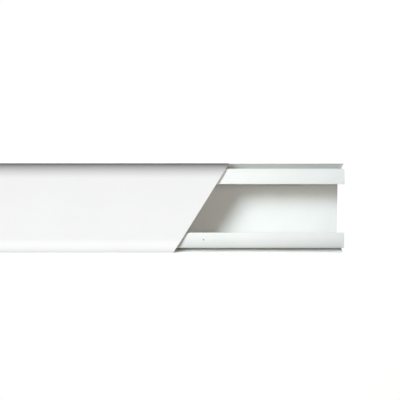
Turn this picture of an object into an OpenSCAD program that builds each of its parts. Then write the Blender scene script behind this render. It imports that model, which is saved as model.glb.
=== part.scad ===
// Cable trunking: a straight length of white PVC-U channel with a clip-on lid cut off at a slant.
// Millimetres. X runs along the length, Z is up, the origin is the middle of the back face.

/* [Stock] */
// Length of the base as it is sold
stock_len = 2000; // [600:50:3000]
// Outside width, over both side walls
trunk_w = 100; // [80:1:200]
// Outside height with the lid clipped on
trunk_h = 50; // [40:1:100]

/* [Base] */
// Thickness of the back, which lies against the wall
back_t = 2; // [1.2:0.1:4]
// Thickness of the side walls, clip ledges, necks and lips
wall_t = 1.8; // [1.2:0.1:2.2]
// Radius of the two outside corners along the back
back_corner_r = 1.5; // [0.5:0.1:1.8]
// Radius of the two inside corners along the back
inner_corner_r = 1.5; // [0.5:0.1:4]
// Width of each lip turned in over the channel
lip_w = 17.3; // [14:0.1:24]
// Width of the flat part of each lip, before it curves down to its nose
lip_flat = 3.3; // [2:0.1:8]

/* [Clip] */
// Width of the flat rim that the lid stands on
rim_w = 0.6; // [0.4:0.1:1.2]
// Slope of the clip ledge, down from the rim to the neck
ledge_angle = 70; // [40:1:72]
// Open width of the clip groove, from the inside of the wall to the nose of the lip
groove_w = 4.2; // [3.5:0.1:6]
// How far the hook of the lid reaches under the nose
catch = 0.9; // [0.5:0.1:1.2]
// Thickness of the springing leg of the lid
leg_t = 1.6; // [1.2:0.1:2]
// Height of the hook at the foot of the leg
hook_h = 3.4; // [2.5:0.1:4.2]
// Straight height of the tip of the hook, above its slanted lead-in
hook_land = 0.8; // [0.4:0.1:1.5]
// Room between the foot of the leg and the ledge below it, so that the leg can spring out as it snaps in
toe_room = 2.5; // [0.5:0.1:3.5]
// Clearance between the lid and the base wherever they meet
fit_gap = 0.3; // [0.2:0.05:0.5]

/* [Lid] */
// Thickness of the lid
lid_t = 1.8; // [1.2:0.1:2.4]
// Height of the side of the lid, from its foot on the rim to its top
lid_side_h = 11.4; // [10:0.1:14]
// Outside radius of the long edges of the lid
lid_edge_r = 18; // [12:0.5:20]
// Space between the underside of the lid and the flat part of the lips
lid_lift = 1.2; // [0.4:0.1:3]
// How far the longer edge of the lid stops short of the end of the base
lid_setback = 127.5; // [0:0.5:400]
// Angle of the slanting cut across the lid, measured from square
mitre_angle = 32; // [0:1:50]

/* [Hidden] */
$fn = 96;
// Small overlap that makes joined areas one solid
lap = 0.01;
half_w = trunk_w / 2;
wall_in = half_w - wall_t;
lip_top = trunk_h - lid_t - lid_lift;
lid_foot = trunk_h - lid_side_h;
rim_top = lid_foot - fit_gap;
// Nose, neck and inner edge of the lip, measured out from the middle of the section
nose_out = wall_in - groove_w;
neck_out = nose_out - catch - fit_gap;
neck_in = neck_out - wall_t;
lip_in = nose_out - lip_w;
// Top of the sloping ledge at a distance y from the middle, and the flat floor where it ends below the nose
function ledge_z(y) = rim_top - (half_w - rim_w - y) * tan(ledge_angle);
groove_floor = ledge_z(nose_out);
// The same ledge from below, one wall thickness down
ledge_under = wall_t / cos(ledge_angle);
ledge_bend = nose_out + wall_t * tan(ledge_angle / 2);
// Leg and hook of the lid, placed from the ledge below and the nose above
leg_in = nose_out + fit_gap;
leg_out = leg_in + leg_t;
hook_tip = nose_out - catch;
leg_foot = ledge_z(leg_out) + toe_room;
hook_top = leg_foot + hook_h;
nose_foot = hook_top + fit_gap;
// Middle of the arc of the lid's long edge, which meets the outside of the wall at the lid's foot
edge_mid_z = trunk_h - lid_edge_r;
edge_mid = half_w - sqrt(pow(lid_edge_r, 2) - pow(max(0, lid_foot - edge_mid_z), 2));
// The lip curves down to a nose that just clears the inside of that arc
nose_top = edge_mid_z + sqrt(pow(lid_edge_r - lid_t - fit_gap, 2) - pow(nose_out - edge_mid, 2));
crown_mid = lip_in + lip_flat;
crown_w = nose_out - crown_mid;
crown_r = (pow(crown_w, 2) + pow(lip_top - nose_top, 2)) / (2 * (lip_top - nose_top));

// A rectangle between two corners
module area(x0, y0, x1, y1) {
  translate([x0, y0])
    square([x1 - x0, y1 - y0]);
}

// What is left of a square corner at the origin once it is rounded to radius r
module corner_waste(r) {
  difference() {
    translate([-lap, -lap])
      square([r + lap, r + lap]);
    translate([r, r])
      circle(r = r);
  }
}

// Draws its children on both sides of the section
module both_sides() {
  children();
  mirror([1, 0])
    children();
}

// Runs a section along X for the length of the stock
module run() {
  translate([-stock_len / 2, 0, 0])
    rotate([90, 0, 90])
      linear_extrude(height = stock_len)
        children();
}

// Lip of one side: its round inner edge, its flat part, and the crown that curves down to the nose
module lip_side() {
  translate([lip_in + wall_t / 2, lip_top - wall_t / 2])
    circle(d = wall_t);
  area(lip_in + wall_t / 2, lip_top - wall_t, crown_mid, lip_top);
  translate([crown_mid, lip_top - crown_r]) {
    intersection() {
      difference() {
        circle(r = crown_r);
        circle(r = crown_r - wall_t);
      }
      square([crown_w, crown_r + 1]);
    }
    intersection() {
      circle(r = crown_r);
      area(neck_in - crown_mid, nose_foot - lip_top + crown_r, crown_w, crown_r + 1);
    }
  }
}

// Side wall with its rim, the ledge sloping down to the floor of the clip groove, and the neck up to the nose
module wall_side() {
  polygon([
    [wall_in, 0],
    [half_w, 0],
    [half_w, rim_top],
    [half_w - rim_w, rim_top],
    [nose_out, groove_floor],
    [neck_in, groove_floor],
    [neck_in, groove_floor - wall_t],
    [ledge_bend, groove_floor - wall_t],
    [wall_in, ledge_z(wall_in) - ledge_under]
  ]);
  area(neck_in, groove_floor - lap, neck_out, nose_foot + lap);
  translate([wall_in, back_t])
    mirror([1, 0])
      corner_waste(inner_corner_r);
}

module base_section() {
  difference() {
    union() {
      area(-half_w, 0, half_w, back_t);
      both_sides() {
        wall_side();
        lip_side();
      }
    }
    both_sides()
      translate([half_w, 0])
        mirror([1, 0])
          corner_waste(back_corner_r);
  }
}

// The lid's outline filled in from height foot to height top, with long edges of radius r
module lid_outline(r, foot, top) {
  area(-edge_mid, foot, edge_mid, top);
  both_sides() {
    intersection() {
      translate([edge_mid, edge_mid_z])
        circle(r = r);
      area(0, foot, trunk_w, trunk_h + 1);
    }
    if (foot < edge_mid_z)
      area(0, foot, edge_mid + r, edge_mid_z);
  }
}

// Springing leg of one side, ending in its hook
module leg_side() {
  area(leg_in, hook_top - lap, leg_out, trunk_h);
  polygon([
    [leg_out, hook_top],
    [hook_tip, hook_top],
    [hook_tip, hook_top - hook_land],
    [leg_out, leg_foot]
  ]);
}

module lid_section() {
  difference() {
    lid_outline(lid_edge_r, lid_foot, trunk_h);
    lid_outline(lid_edge_r - lid_t, lid_foot - 1, trunk_h - lid_t);
  }
  intersection() {
    both_sides()
      leg_side();
    lid_outline(lid_edge_r - lid_t / 2, leg_foot - 1, trunk_h - lid_t / 2);
  }
}

// Channel that is fixed to the wall and carries the cables
module base() {
  color([0.93, 0.95, 0.94])
    run()
      base_section();
}

// Lid that clips over the channel, sawn off at a slant near one end
module lid() {
  color([0.96, 0.96, 0.96])
    difference() {
      run()
        lid_section();
      translate([stock_len / 2 - lid_setback, half_w, 0])
        rotate([0, 0, -mitre_angle])
          translate([0, -stock_len, -1])
            cube([stock_len, stock_len * 2, trunk_h + 2]);
    }
}

base();
lid();
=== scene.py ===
# %% [markdown]
# # A length of white cable trunking
# Trunking is a plastic channel that is fixed along a wall to carry cables, with a lid that clips over
# it. This one is two pieces of PVC-U, each pushed through a die as one long section: the base, with its
# clip grooves and wide lips, and the lid, sawn off at a slant so that the inside of the base can be
# seen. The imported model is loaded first. It is the fixed frame: everything made here is in metres in
# that frame.

# %% Load the frame
import math

import bmesh
import bpy
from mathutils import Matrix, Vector


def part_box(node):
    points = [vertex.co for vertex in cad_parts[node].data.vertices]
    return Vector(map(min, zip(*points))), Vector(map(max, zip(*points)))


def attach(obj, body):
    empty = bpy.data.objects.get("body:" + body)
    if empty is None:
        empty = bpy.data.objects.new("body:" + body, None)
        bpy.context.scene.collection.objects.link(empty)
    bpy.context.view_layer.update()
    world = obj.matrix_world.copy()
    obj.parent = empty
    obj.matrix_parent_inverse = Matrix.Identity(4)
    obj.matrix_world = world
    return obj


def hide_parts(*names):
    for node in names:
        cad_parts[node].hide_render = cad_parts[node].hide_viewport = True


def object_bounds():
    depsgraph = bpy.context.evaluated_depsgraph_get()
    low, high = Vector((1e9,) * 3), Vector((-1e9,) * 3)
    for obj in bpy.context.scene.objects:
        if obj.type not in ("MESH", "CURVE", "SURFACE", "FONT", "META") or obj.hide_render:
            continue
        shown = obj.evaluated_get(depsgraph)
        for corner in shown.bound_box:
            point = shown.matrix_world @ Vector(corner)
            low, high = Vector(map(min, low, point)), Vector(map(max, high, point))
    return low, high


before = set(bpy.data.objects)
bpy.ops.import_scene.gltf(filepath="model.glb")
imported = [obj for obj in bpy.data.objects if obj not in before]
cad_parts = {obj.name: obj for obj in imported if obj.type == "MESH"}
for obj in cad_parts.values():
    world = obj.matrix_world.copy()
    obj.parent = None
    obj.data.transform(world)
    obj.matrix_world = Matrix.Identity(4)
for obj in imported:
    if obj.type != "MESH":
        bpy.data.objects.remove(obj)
cad_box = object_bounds()
base_low, base_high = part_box("base")
lid_low, lid_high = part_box("lid")
MM = 0.001
cad_size = [round(v / MM, 1) for v in cad_box[1] - cad_box[0]]
print("frame holds", sorted(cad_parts), "and the whole box is", cad_size, "mm")

# %% [markdown]
# ## Drawing a section
# An extruded piece is the same all along its length, so the one thing worth drawing carefully is its
# section. A section could be a curve with a bevel, but a mesh drawn by operators keeps every edge where
# the drawing puts it. `trace` starts from one vertex and draws half of the section in the YZ plane: a
# straight run extrudes the last vertex to a new place, and an arc spins it about a centre. The half is
# mirrored, filled with one face, and its sharp corners are rounded a little, because no die leaves a
# knife edge.

# %% The section tracer
ARC_STEP = 6.0  # degrees to a facet on the bends
ARC_LEAST = 4  # facets on the shortest bend
MERGE_DIST = 0.001 * MM
CORNER_TURN = math.radians(20)  # where the outline turns by more than this, the die has a corner
CORNER_R = 0.25 * MM
CORNER_FACETS = 3


def trace(start, path, end_x):
    bm = bmesh.new()
    tip = bm.verts.new((end_x, start[0] * MM, start[1] * MM))
    for step in path:
        if len(step) == 2:
            tip = bmesh.ops.extrude_vert_indiv(bm, verts=[tip])["verts"][0]
            tip.co = (end_x, step[0] * MM, step[1] * MM)
        else:
            centre_y, centre_z, degrees = step
            turn = bmesh.ops.spin(
                bm, geom=[tip], cent=(end_x, centre_y * MM, centre_z * MM), axis=(1, 0, 0),
                angle=math.radians(degrees), steps=max(ARC_LEAST, math.ceil(abs(degrees) / ARC_STEP)))
            tip = turn["geom_last"][0]
    bmesh.ops.mirror(bm, geom=bm.verts[:] + bm.edges[:], axis="Y", merge_dist=MERGE_DIST)
    bmesh.ops.remove_doubles(bm, verts=bm.verts[:], dist=MERGE_DIST)
    bmesh.ops.edgeloop_fill(bm, edges=bm.edges[:])
    corners = [v for v in bm.verts if v.calc_edge_angle(0.0) > CORNER_TURN]
    bmesh.ops.bevel(
        bm, geom=corners, offset=CORNER_R, offset_type="OFFSET", affect="VERTICES",
        segments=CORNER_FACETS, profile=0.5, material=-1, clamp_overlap=True)
    print("section of", len(bm.verts), "points with", len(corners), "rounded corners")
    return bm


# %% [markdown]
# ## From section to stock
# The die gives the section and the saw gives the length. One extrusion of the face does both. A
# finished piece is checked here: every edge has to join exactly two faces, or the piece isn't a closed
# solid. The faces left by the saw get a material slot of their own, because a sawn edge is duller than
# the skin of the extrusion.

# %% Extrude, finish and check
SAWN_FACING = 0.3  # a face that points along the length by more than this was left by the saw
SHARP_EDGE = math.radians(35)


def run_out(bm, length):
    pushed = bmesh.ops.extrude_face_region(bm, geom=bm.faces[:], use_keep_orig=True)["geom"]
    far_verts = [g for g in pushed if isinstance(g, bmesh.types.BMVert)]
    bmesh.ops.translate(bm, verts=far_verts, vec=(length, 0, 0))


def add_object(name, data):
    made = bpy.data.objects.new(name, data)
    bpy.context.scene.collection.objects.link(made)
    return made


def add_mesh(name, bm):
    mesh = bpy.data.meshes.new(name)
    bm.to_mesh(mesh)
    bm.free()
    return add_object(name, mesh)


def finish_piece(name, bm, body):
    bmesh.ops.recalc_face_normals(bm, faces=bm.faces[:])
    for face in bm.faces:
        face.smooth = True
        face.material_index = 1 if abs(face.normal.x) > SAWN_FACING else 0
    open_edges = sum(len(e.link_faces) != 2 for e in bm.edges)
    cubic_cm = bm.calc_volume() / (10 * MM) ** 3
    piece = add_mesh(name, bm)
    piece.data.set_sharp_from_angle(angle=SHARP_EDGE)
    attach(piece, body)
    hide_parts(body)
    faces = len(piece.data.polygons)
    print(name, "has", faces, "faces,", open_edges, "open edges and", round(cubic_cm, 1), "cm3")
    return piece


# %% [markdown]
# ## The base
# The base is fixed to the wall by its flat back. Each side wall ends in a narrow rim that the lid
# stands on. From the rim a ledge slopes steeply down and in to the floor of the clip groove, and from
# there a neck rises to a nose and a wide lip over the channel. The lip is flat beside the mouth and
# then curves gently down to its nose, which just clears the inside of the lid. The sizes are those of
# the CAD solid, in millimetres, and the solid's own mesh is replaced only because its arcs are cut into
# broad facets.

# %% Sizes of the base
HALF_W = base_high.y / MM
WALL_T = 1.8
BACK_T = 2.0
BACK_R = 1.5
LIP_TOP = base_high.z / MM
LIP_IN, LIP_FLAT = 26.7, 3.3
RIM_TOP, RIM_W = 38.3, 0.6
LEDGE_ANGLE = 70.0
NOSE_OUT, NOSE_TOP, NOSE_FOOT = 44.0, 43.719, 34.884
NECK_OUT = 42.8

wall_in = HALF_W - WALL_T
neck_in = NECK_OUT - WALL_T
crown_mid = LIP_IN + LIP_FLAT
nose_drop = LIP_TOP - NOSE_TOP
crown_r = ((NOSE_OUT - crown_mid) ** 2 + nose_drop ** 2) / (2 * nose_drop)
crown_turn = math.degrees(math.asin((NOSE_OUT - crown_mid) / crown_r))
under_turn = math.degrees(math.asin((neck_in - crown_mid) / (crown_r - WALL_T)))
slope = math.tan(math.radians(LEDGE_ANGLE))
groove_floor = RIM_TOP - (HALF_W - RIM_W - NOSE_OUT) * slope
ledge_bend = NOSE_OUT + WALL_T * math.tan(math.radians(LEDGE_ANGLE / 2))
print("lip curve of radius", round(crown_r, 1), "mm, floor of the groove at", round(groove_floor, 1), "mm")

# %% Base section and length
base_bm = trace(
    (0, 0),
    [
        (HALF_W - BACK_R, 0),
        (HALF_W - BACK_R, BACK_R, 90),
        (HALF_W, RIM_TOP),
        (HALF_W - RIM_W, RIM_TOP),
        (NOSE_OUT, groove_floor),
        (NECK_OUT, groove_floor),
        (NECK_OUT, NOSE_FOOT),
        (NOSE_OUT, NOSE_FOOT),
        (NOSE_OUT, NOSE_TOP),
        (crown_mid, LIP_TOP - crown_r, crown_turn),
        (LIP_IN + WALL_T / 2, LIP_TOP),
        (LIP_IN + WALL_T / 2, LIP_TOP - WALL_T / 2, 180),
        (crown_mid, LIP_TOP - WALL_T),
        (crown_mid, LIP_TOP - crown_r, -under_turn),
        (neck_in, groove_floor - WALL_T),
        (ledge_bend, groove_floor - WALL_T),
        (wall_in, groove_floor - WALL_T + (wall_in - ledge_bend) * slope),
        (wall_in, BACK_T + BACK_R),
        (wall_in - BACK_R, BACK_T + BACK_R, -90),
        (0, BACK_T),
    ],
    base_low.x)
run_out(base_bm, base_high.x - base_low.x)
base = finish_piece("trunking_base", base_bm, "base")

# %% [markdown]
# ## The lid
# The lid is a flat cover with broad, rounded long edges that come down to the rims of the base. Inside
# each edge hangs a springing leg with a hook, which snaps under the nose of the base. The leg leaves
# the inside of the rounded edge part of the way round, so the inner arc is drawn in two spins with the
# leg between them.

# %% Sizes of the lid
LID_T = 1.8
LID_TOP = lid_high.z / MM
LID_FOOT = 38.6
EDGE_R = 18.0
LEG_IN, LEG_OUT = 44.3, 45.9
LEG_FOOT = lid_low.z / MM
HOOK_TIP, HOOK_TOP, HOOK_LAND = 43.1, 34.584, 0.8

inner_r = EDGE_R - LID_T
edge_mid_z = LID_TOP - EDGE_R
edge_mid_y = HALF_W - math.sqrt(EDGE_R ** 2 - (LID_FOOT - edge_mid_z) ** 2)
foot_turn = math.degrees(math.asin((LID_FOOT - edge_mid_z) / EDGE_R))
inner_foot_turn = math.degrees(math.asin((LID_FOOT - edge_mid_z) / inner_r))
inner_foot_y = edge_mid_y + inner_r * math.cos(math.radians(inner_foot_turn))
turn_to_leg = math.degrees(math.acos((LEG_OUT - edge_mid_y) / inner_r))
turn_past_leg = math.degrees(math.acos((LEG_IN - edge_mid_y) / inner_r))
leg_root_z = edge_mid_z + inner_r * math.sin(math.radians(turn_past_leg))
print("the lid is flat for", round(2 * edge_mid_y, 1), "mm of its width")

# %% Lid section and length
lid_bm = trace(
    (0, LID_TOP),
    [
        (edge_mid_y, LID_TOP),
        (edge_mid_y, edge_mid_z, foot_turn - 90),
        (inner_foot_y, LID_FOOT),
        (edge_mid_y, edge_mid_z, turn_to_leg - inner_foot_turn),
        (LEG_OUT, LEG_FOOT),
        (HOOK_TIP, HOOK_TOP - HOOK_LAND),
        (HOOK_TIP, HOOK_TOP),
        (LEG_IN, HOOK_TOP),
        (LEG_IN, leg_root_z),
        (edge_mid_y, edge_mid_z, 90 - turn_past_leg),
        (0, LID_TOP - LID_T),
    ],
    lid_low.x)
run_out(lid_bm, lid_high.x - lid_low.x)

# %% [markdown]
# ## The slanting cut
# The saw could be a thin box taken away by a boolean, but a straight cut right across is just a plane.
# The plane stands at the end of the lid's longer edge, clears away what lies beyond it, and the open
# outline that it leaves is filled with one face.

# %% Saw the lid
CUT_ANGLE = math.radians(32)
CUT_DIST = 0.0001 * MM

bmesh.ops.bisect_plane(
    lid_bm, geom=lid_bm.verts[:] + lid_bm.edges[:] + lid_bm.faces[:], dist=CUT_DIST,
    plane_co=(lid_high.x, lid_high.y, 0), plane_no=(math.cos(CUT_ANGLE), -math.sin(CUT_ANGLE), 0),
    clear_outer=True)
bmesh.ops.edgeloop_fill(lid_bm, edges=[e for e in lid_bm.edges if len(e.link_faces) == 1])
lid = finish_piece("trunking_lid", lid_bm, "lid")

# %% [markdown]
# ## Colours and nodes
# Colours are written as sRGB hex codes, the way a picture stores them, and turned to linear light for
# the shader. One small function adds a node: a plain value sets a socket, and another node's output is
# linked.

# %% Helpers for materials


def linear(hex_code):
    parts = [int(hex_code[i:i + 2], 16) / 255 for i in (1, 3, 5)]
    return [p / 12.92 if p <= 0.04045 else ((p + 0.055) / 1.055) ** 2.4 for p in parts] + [1.0]


def add(tree, kind, sockets=None, **settings):
    made = tree.nodes.new(kind)
    for key, value in settings.items():
        setattr(made, key, value)
    for key, value in (sockets or {}).items():
        if isinstance(value, bpy.types.NodeSocket):
            tree.links.new(value, made.inputs[key])
        else:
            made.inputs[key].default_value = value
    return made


def new_material(name):
    material = bpy.data.materials.new(name)
    material.use_nodes = True
    material.node_tree.nodes.clear()
    return material, material.node_tree


print("a middle grey of #808080 is", round(linear("#808080")[0], 3), "in linear light")

# %% [markdown]
# ## PVC-U, extruded
# Rigid PVC, pushed through a polished die and cooled in water: an even, satin white skin that is only a
# little glossy. Seen close, it has faint lines along the length where the die dragged, a very fine
# orange peel, and slow cloudiness in the white. The lines are about 1.5 mm apart across the section and
# hundreds of millimetres long, which is why their pattern is squeezed along X. They are only microns
# deep, so they go into bump and roughness and not into the mesh.

# %% Sizes of the patterns in the skin
PVC_IOR = 1.53
LINE_GAP = 1.5 * MM
LINE_LENGTH = 600 * MM
LINE_DEPTH = 0.02 * MM
PEEL_SIZE = 1.2 * MM
PEEL_DEPTH = 0.01 * MM
CLOUD_SIZE = 70 * MM
NOISE_LOW, NOISE_HIGH = 0.3, 0.7  # the values that a noise pattern mostly keeps between
GLOSSY, DULL = 0.58, 0.7  # roughness on and between the drag lines
print("patterns run from", round(PEEL_SIZE / MM, 1), "to", round(LINE_LENGTH / MM), "mm")

# %% [markdown]
# The base also has one dark fleck of burnt resin on its near lip, about 1.4 mm across. It is painted by
# the distance from its middle, and fades out over a fraction of a millimetre.

# %% The extruded PVC materials
FLECK_AT = (844.1 * MM, -34.6 * MM, 46.7 * MM)
FLECK_CORE, FLECK_RIM = 0.5 * MM, 0.9 * MM
FLECK_COLOUR = "#4a4844"


def extruded_pvc(name, white, cloud, fleck_at=None):
    material, tree = new_material(name)
    place = add(tree, "ShaderNodeTexCoord").outputs["Object"]
    line_space = add(tree, "ShaderNodeMapping", {
        "Vector": place, "Scale": (1 / LINE_LENGTH, 1 / LINE_GAP, 1 / LINE_GAP)})
    lines = add(tree, "ShaderNodeTexNoise", {
        "Vector": line_space.outputs["Vector"], "Scale": 1.0, "Detail": 2.0})
    peel = add(tree, "ShaderNodeTexNoise", {"Vector": place, "Scale": 1 / PEEL_SIZE, "Detail": 2.0})
    clouds = add(tree, "ShaderNodeTexNoise", {
        "Vector": place, "Scale": 1 / CLOUD_SIZE, "Detail": 6.0, "Roughness": 0.65})
    shade = add(tree, "ShaderNodeMapRange", {
        "Value": clouds.outputs["Fac"], "From Min": NOISE_LOW, "From Max": NOISE_HIGH})
    skin = add(tree, "ShaderNodeMix", {
        "Factor": shade.outputs["Result"], "A": linear(white), "B": linear(cloud)}, data_type="RGBA")
    colour = skin.outputs["Result"]
    if fleck_at:
        away = add(tree, "ShaderNodeVectorMath", {0: place, 1: fleck_at}, operation="DISTANCE")
        mark = add(tree, "ShaderNodeMapRange", {
            "Value": away.outputs["Value"], "From Min": FLECK_CORE, "From Max": FLECK_RIM,
            "To Min": 1.0, "To Max": 0.0})
        flecked = add(tree, "ShaderNodeMix", {
            "Factor": mark.outputs["Result"], "A": colour, "B": linear(FLECK_COLOUR)}, data_type="RGBA")
        colour = flecked.outputs["Result"]
    gloss = add(tree, "ShaderNodeMapRange", {
        "Value": lines.outputs["Fac"], "From Min": NOISE_LOW, "From Max": NOISE_HIGH,
        "To Min": GLOSSY, "To Max": DULL})
    drag = add(tree, "ShaderNodeBump", {
        "Height": lines.outputs["Fac"], "Strength": 0.25, "Distance": LINE_DEPTH})
    relief = add(tree, "ShaderNodeBump", {
        "Height": peel.outputs["Fac"], "Strength": 0.2, "Distance": PEEL_DEPTH,
        "Normal": drag.outputs["Normal"]})
    shader = add(tree, "ShaderNodeBsdfPrincipled", {
        "Base Color": colour, "Roughness": gloss.outputs["Result"], "IOR": PVC_IOR,
        "Specular IOR Level": 0.12, "Normal": relief.outputs["Normal"]})
    add(tree, "ShaderNodeOutputMaterial", {"Surface": shader.outputs["BSDF"]})
    return material


base_skin = extruded_pvc("PVC-U extruded, base", "#e9ece9", "#e3e7e3", FLECK_AT)
lid_skin = extruded_pvc("PVC-U extruded, lid", "#f6f6f6", "#f3f3f3")
print("made", base_skin.name, "and", lid_skin.name)

# %% [markdown]
# ## PVC-U, sawn
# Where a saw has been through it the same plastic is dull and a little chalky, with fine scores that
# run across the width the way the blade moved. The scores are about 0.4 mm apart in height and run
# level, so the noise is stretched along X and Y and tight in Z.

# %% The sawn edge material
SCORE_GAP = 0.4 * MM
SCORE_LENGTH = 40 * MM
SCORE_DEPTH = 0.05 * MM

sawn, tree = new_material("PVC-U sawn edge")
place = add(tree, "ShaderNodeTexCoord").outputs["Object"]
score_space = add(tree, "ShaderNodeMapping", {
    "Vector": place, "Scale": (1 / SCORE_LENGTH, 1 / SCORE_LENGTH, 1 / SCORE_GAP)})
scores = add(tree, "ShaderNodeTexNoise", {
    "Vector": score_space.outputs["Vector"], "Scale": 1.0, "Detail": 3.0})
chalk = add(tree, "ShaderNodeMix", {
    "Factor": scores.outputs["Fac"], "A": linear("#f4f4f1"), "B": linear("#ebece8")}, data_type="RGBA")
grooves = add(tree, "ShaderNodeBump", {
    "Height": scores.outputs["Fac"], "Strength": 0.5, "Distance": SCORE_DEPTH})
shader = add(tree, "ShaderNodeBsdfPrincipled", {
    "Base Color": chalk.outputs["Result"], "Roughness": 0.75, "IOR": PVC_IOR, "Specular IOR Level": 0.3,
    "Normal": grooves.outputs["Normal"]})
add(tree, "ShaderNodeOutputMaterial", {"Surface": shader.outputs["BSDF"]})

for piece, skin in ((base, base_skin), (lid, lid_skin)):
    piece.data.materials.append(skin)
    piece.data.materials.append(sawn)
print("sawn faces:", sum(p.material_index == 1 for o in (base, lid) for p in o.data.polygons))

# %% [markdown]
# ## Floor and background
# The trunking lies on its back on a plain white floor. The picture's ground is pure white, so the floor
# and the world are white to the camera and to reflected and transmitted rays, and dimmer as a source of
# light: the lamps do the lighting. The floor is matte paper, so it takes the object's shadow, and its
# glow only makes up what the dim sky leaves short of white. It lies a hair below the back, so the two
# don't share a plane.

# %% Floor
FLOOR_HALF = 8.0
FLOOR_DROP = 0.2 * MM

floor_bm = bmesh.new()
bmesh.ops.create_grid(floor_bm, x_segments=1, y_segments=1, size=FLOOR_HALF)
bmesh.ops.translate(floor_bm, verts=floor_bm.verts[:], vec=(0, 0, -FLOOR_DROP))
floor = add_mesh("studio_floor", floor_bm)
print("floor at", round(floor.data.vertices[0].co.z / MM, 2), "mm")

# %% White paper and white world
SKY = 0.05  # light that the surroundings throw on the object
GLOW = 0.965  # what the paper adds to the sky's light to look white


def seen_directly(tree):
    ray = add(tree, "ShaderNodeLightPath").outputs
    either = add(
        tree, "ShaderNodeMath", {0: ray["Is Camera Ray"], 1: ray["Is Glossy Ray"]}, operation="MAXIMUM")
    return add(
        tree, "ShaderNodeMath", {0: either.outputs["Value"], 1: ray["Is Transmission Ray"]},
        operation="MAXIMUM").outputs["Value"]


paper, tree = new_material("white paper floor")
matte = add(tree, "ShaderNodeBsdfDiffuse", {"Color": linear("#e6e6e6")})
glow = add(tree, "ShaderNodeEmission", {"Color": linear("#ffffff"), "Strength": GLOW})
lit = add(tree, "ShaderNodeAddShader", {0: matte.outputs["BSDF"], 1: glow.outputs["Emission"]})
mix = add(tree, "ShaderNodeMixShader", {
    0: seen_directly(tree), 1: matte.outputs["BSDF"], 2: lit.outputs["Shader"]})
add(tree, "ShaderNodeOutputMaterial", {"Surface": mix.outputs["Shader"]})
floor.data.materials.append(paper)

world = bpy.data.worlds.new("white studio")
bpy.context.scene.world = world
world.use_nodes = True
tree = world.node_tree
tree.nodes.clear()
white = add(tree, "ShaderNodeBackground", {"Color": linear("#ffffff"), "Strength": 1.0})
sky = add(tree, "ShaderNodeBackground", {"Color": linear("#fff2e4"), "Strength": SKY})
mix = add(tree, "ShaderNodeMixShader", {
    0: seen_directly(tree), 1: sky.outputs["Background"], 2: white.outputs["Background"]})
add(tree, "ShaderNodeOutputWorld", {"Surface": mix.outputs["Shader"]})
print("made", paper.name, "and", world.name)

# %% [markdown]
# ## Lamps
# The base is lit from high on the left and a little from behind, so the lid and the far lip throw soft
# shadows on the floor of the channel, and a weaker lamp almost straight above fills those shadows. The
# lid is lit from the front, so its far edge rolls away into shade. Each lamp is kept to its own piece
# by light linking. Sun lamps with a wide angle are used, because a soft lamp close by would leave the
# other end of two metres of trunking in the dark.

# %% Soft lamps


def group(name, members):
    made = bpy.data.collections.new(name)
    for member in members:
        made.objects.link(member)
    return made


def soft_lamp(name, kind, towards, strength, colour, piece, **settings):
    data = bpy.data.lights.new(name, kind)
    data.energy = strength
    data.color = linear(colour)[:3]
    for key, value in settings.items():
        setattr(data, key, value)
    lamp = add_object(name, data)
    lamp.rotation_euler = Vector(towards).to_track_quat("Z", "Y").to_euler()
    lamp.visible_camera = False
    lamp.light_linking.receiver_collection = group(name + " lights", [piece])
    print(name, "lights", piece.name)
    return lamp


soft_lamp("channel lamp", "SUN", (-0.68, 0.47, 1.0), 2.38, "#ebf5ff", base, angle=math.radians(20))
soft_lamp("fill lamp", "SUN", (0.15, 0.05, 1.0), 0.3, "#fff4ec", base, angle=math.radians(16))
soft_lamp("lid lamp", "SUN", (-0.1, -0.4, 1.0), 3.32, "#fbfcfd", lid, angle=math.radians(20))

# %% [markdown]
# ## Lamps close to the trunking
# One soft spot hangs close by, on the left of the open end, so that the lips grow a little darker
# towards the sawn end. A small lamp low over that end fills its shadows, from a place where the near
# lip keeps the clip groove dark. A long softbox over the rest of the base does the same there once the
# lid is slid off.

# %% Spot, low lamp and softbox
END_AIM = Vector((860 * MM, -50 * MM, 30 * MM))
END_REACH = 700 * MM
END_LAMP_R = 140 * MM
LOW_LAMP_AT = (885 * MM, 33 * MM, 250 * MM)
LOW_LAMP_R = 20 * MM
SOFTBOX_AT = (-300 * MM, 30 * MM, 500 * MM)
SOFTBOX_LENGTH, SOFTBOX_WIDTH = 1400 * MM, 100 * MM
OVERHEAD = (0, 0, 1)

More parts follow.
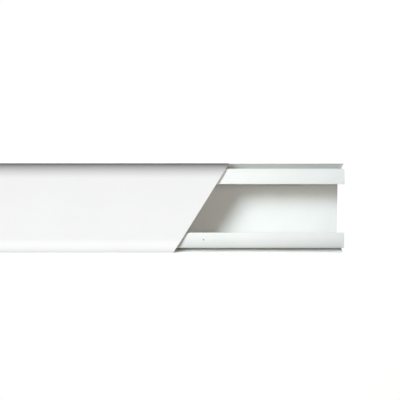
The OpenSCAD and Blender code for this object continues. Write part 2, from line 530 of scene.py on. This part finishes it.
from_left = Vector((-0.9, 0.35, 1.0)).normalized()
spot = soft_lamp(
    "open end lamp", "SPOT", from_left, 9.8, "#fffcfa", base,
    spot_size=math.radians(30), spot_blend=1.0, shadow_soft_size=END_LAMP_R)
spot.location = END_AIM + END_REACH * from_left

low_lamp = soft_lamp(
    "low fill lamp", "POINT", OVERHEAD, 0.48, "#fff4ec", base, shadow_soft_size=LOW_LAMP_R)
low_lamp.location = LOW_LAMP_AT

softbox = soft_lamp(
    "softbox", "AREA", OVERHEAD, 1.6, "#fffaf6", base,
    shape="RECTANGLE", size=SOFTBOX_LENGTH, size_y=SOFTBOX_WIDTH)
softbox.location = SOFTBOX_AT

# %% [markdown]
# ## Light thrown back by the table
# A white table also throws light back up at the two sides. Two lamps from just below the horizon stand
# in for that. Only the two pieces cast shadows in them, or the floor would cut them off.

# %% Table bounce
shadow_pieces = group("pieces that cast shadows", (base, lid))
for name, towards, strength, colour in (
        ("near table bounce", (0.5, -1.0, -0.85), 2.4, "#ffffff"),
        ("far table bounce", (-0.5, 1.0, -0.85), 1.3, "#fff4e6")):
    bounce = soft_lamp(name, "SUN", towards, strength, colour, base, angle=math.radians(30))
    bounce.light_linking.blocker_collection = shadow_pieces

# %% [markdown]
# ## Camera
# The picture was taken from almost straight above, close to the sawn end. The lens and the height
# follow from how much smaller the floor of the channel looks than the lips, and the small tilt from the
# rows of the long edges.

# %% Camera and view
PICTURE_SIDE = 400
FOCAL_PIXELS = 761.9
SENSOR_WIDTH = 36.0
CAMERA_AT = (840.2 * MM, 48.7 * MM, 887.1 * MM)
CAMERA_TILT = -0.0467  # radians from straight down, towards the near side

camera_data = bpy.data.cameras.new("camera")
camera_data.sensor_width = SENSOR_WIDTH
camera_data.lens = SENSOR_WIDTH * FOCAL_PIXELS / PICTURE_SIDE
camera = add_object("camera", camera_data)
camera.location = CAMERA_AT
camera.rotation_euler = (CAMERA_TILT, 0, 0)
bpy.context.scene.camera = camera
bpy.context.scene.view_settings.view_transform = "Standard"
field = math.degrees(camera_data.angle)
print("lens", round(camera_data.lens, 1), "mm, field of view", round(field, 1), "degrees")
